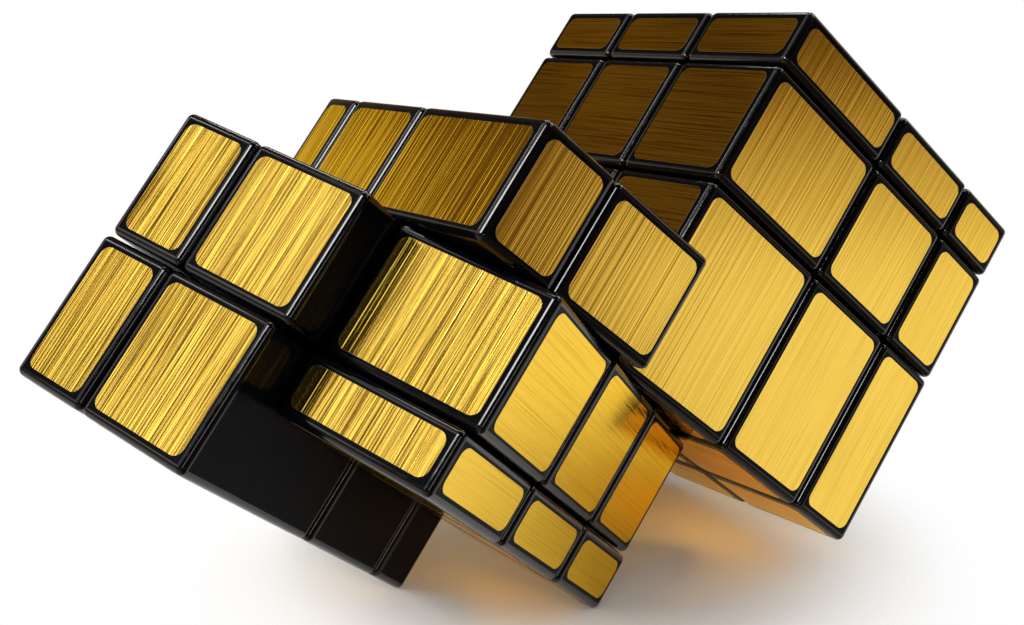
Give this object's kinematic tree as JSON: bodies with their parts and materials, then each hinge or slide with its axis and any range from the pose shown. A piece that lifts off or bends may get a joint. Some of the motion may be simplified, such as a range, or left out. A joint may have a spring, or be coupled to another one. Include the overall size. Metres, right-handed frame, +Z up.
{
  "type": "conjoined mirror block cubes",
  "caption": "Twisty puzzle of two mirror block cubes that share a bar of blocks: black blocks of different thickness, faced with brushed gold foil, one cube scrambled and part-turned.",
  "frame": {"origin": "the point of the surface that the object stands on, straight under the core of the first cube", "axes": "+Z up from that surface in the pose that the object comes to rest in on three corners, -Y the front, +X the right side. The layers turn about the slanted axis (0.4858, 0.4035, 0.7753)"},
  "size_m": [0.1407, 0.1228, 0.0838],
  "materials": {
    "gloss_black_plastic": "polished moulded black plastic with fine rubbed edges",
    "gold_foil": "metallised film sticker, brushed gold with a straight grain",
    "mechanism_plastic": "moulded black plastic, sliding faces lightly greased",
    "steel": "zinc-plated steel"
  },
  "bodies": {
    "joined_layer": {"corner_block_top_left_front": "gloss_black_plastic", "corner_block_top_left_back": "gloss_black_plastic", "twin_corner_block_bottom_right_front": "gloss_black_plastic", "twin_corner_block_bottom_right_back": "gloss_black_plastic", "edge_block_top_left": "gloss_black_plastic", "edge_block_top_front": "gloss_black_plastic", "edge_block_top_back": "gloss_black_plastic", "twin_edge_block_bottom_front": "gloss_black_plastic", "twin_edge_block_bottom_back": "gloss_black_plastic", "twin_edge_block_bottom_right": "gloss_black_plastic", "joined_block_front": "gloss_black_plastic", "joined_block_middle": "gloss_black_plastic", "joined_block_back": "gloss_black_plastic", "centre_cap_top": "gloss_black_plastic", "twin_centre_cap_bottom": "gloss_black_plastic", "feet_joined_layer": "mechanism_plastic", "foils_joined_layer": "gold_foil"},
    "middle_layer": {"edge_block_left_front": "gloss_black_plastic", "edge_block_left_back": "gloss_black_plastic", "edge_block_right_front": "gloss_black_plastic", "edge_block_right_back": "gloss_black_plastic", "centre_caps_middle": "gloss_black_plastic", "feet_middle_layer": "mechanism_plastic", "foils_middle_layer": "gold_foil", "core": "mechanism_plastic", "screws": "steel", "springs": "steel"},
    "bottom_layer": {"corner_block_bottom_left_front": "gloss_black_plastic", "corner_block_bottom_left_back": "gloss_black_plastic", "corner_block_bottom_right_front": "gloss_black_plastic", "corner_block_bottom_right_back": "gloss_black_plastic", "edge_block_bottom_left": "gloss_black_plastic", "edge_block_bottom_front": "gloss_black_plastic", "edge_block_bottom_back": "gloss_black_plastic", "edge_block_bottom_right": "gloss_black_plastic", "centre_cap_bottom": "gloss_black_plastic", "feet_bottom_layer": "mechanism_plastic", "foils_bottom_layer": "gold_foil"},
    "twin_middle_layer": {"twin_edge_block_left_front": "gloss_black_plastic", "twin_edge_block_left_back": "gloss_black_plastic", "twin_edge_block_right_front": "gloss_black_plastic", "twin_edge_block_right_back": "gloss_black_plastic", "twin_centre_caps_middle": "gloss_black_plastic", "feet_twin_middle_layer": "mechanism_plastic", "foils_twin_middle_layer": "gold_foil", "twin_core": "mechanism_plastic", "twin_screws": "steel", "twin_springs": "steel"},
    "twin_top_layer": {"twin_corner_block_top_left_front": "gloss_black_plastic", "twin_corner_block_top_left_back": "gloss_black_plastic", "twin_corner_block_top_right_front": "gloss_black_plastic", "twin_corner_block_top_right_back": "gloss_black_plastic", "twin_edge_block_top_left": "gloss_black_plastic", "twin_edge_block_top_front": "gloss_black_plastic", "twin_edge_block_top_back": "gloss_black_plastic", "twin_edge_block_top_right": "gloss_black_plastic", "twin_centre_cap_top": "gloss_black_plastic", "feet_twin_top_layer": "mechanism_plastic", "foils_twin_top_layer": "gold_foil"}
  },
  "joints": [
    {"name": "middle_turn", "type": "hinge", "parent": "joined_layer", "child": "middle_layer", "pos_m": [0, 0, 0.03606], "axis": [0.4858, 0.4035, 0.7753], "continuous": true},
    {"name": "bottom_turn", "type": "hinge", "parent": "middle_layer", "child": "bottom_layer", "pos_m": [0, 0, 0.03606], "axis": [0.4858, 0.4035, 0.7753], "continuous": true},
    {"name": "twin_middle_turn", "type": "hinge", "parent": "joined_layer", "child": "twin_middle_layer", "pos_m": [0.0531, 0.03643, 0.04574], "axis": [0.4858, 0.4035, 0.7753], "continuous": true},
    {"name": "twin_top_turn", "type": "hinge", "parent": "twin_middle_layer", "child": "twin_top_layer", "pos_m": [0.0531, 0.03643, 0.04574], "axis": [0.4858, 0.4035, 0.7753], "continuous": true}
  ]
}
